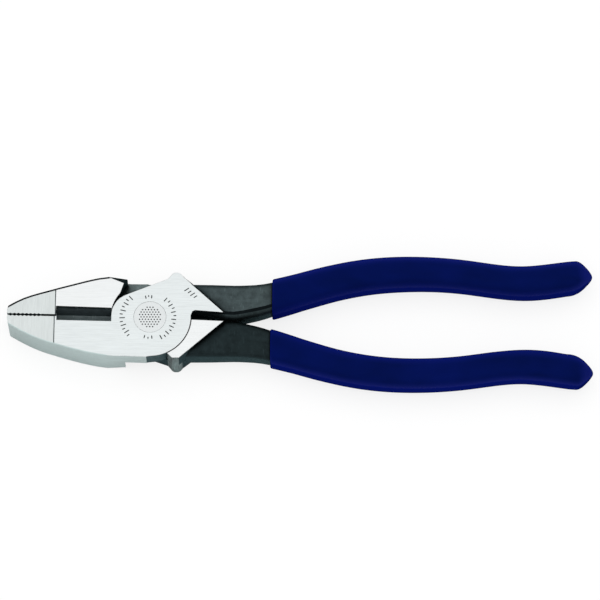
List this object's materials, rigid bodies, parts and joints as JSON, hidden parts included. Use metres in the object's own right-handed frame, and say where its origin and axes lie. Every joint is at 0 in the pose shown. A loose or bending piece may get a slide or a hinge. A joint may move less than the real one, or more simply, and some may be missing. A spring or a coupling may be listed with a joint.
{
  "type": "lineman pliers",
  "caption": "Side-cutting pliers with serrated nose, knife slot, half-lap riveted joint and dipped plastic handle grips.",
  "frame": {"origin": "on the joint's axis, in the plane of the rear faces that the tool rests on", "axes": "+X from the nose towards the handles, +Y towards the handle of the front half, +Z from the rear faces to the front faces along the joint's axis"},
  "size_m": [0.1898, 0.045, 0.0134],
  "materials": {
    "ground_steel": "ground bright jaws and joint, dark oxide on the forged necks and tangs",
    "rivet_steel": "ground flush",
    "dipped_plastic": "navy dipped vinyl, satin gloss"
  },
  "bodies": {
    "front": {"front_half": "ground_steel", "rivet": "rivet_steel", "upper_grip": "dipped_plastic"},
    "rear": {"rear_half": "ground_steel", "lower_grip": "dipped_plastic"}
  },
  "joints": [
    {"name": "jaw_hinge", "type": "hinge", "parent": "front", "child": "rear", "pos_m": [0, 0, 0.0067], "axis": [0, 0, -1], "range_deg": [0, 28]}
  ]
}
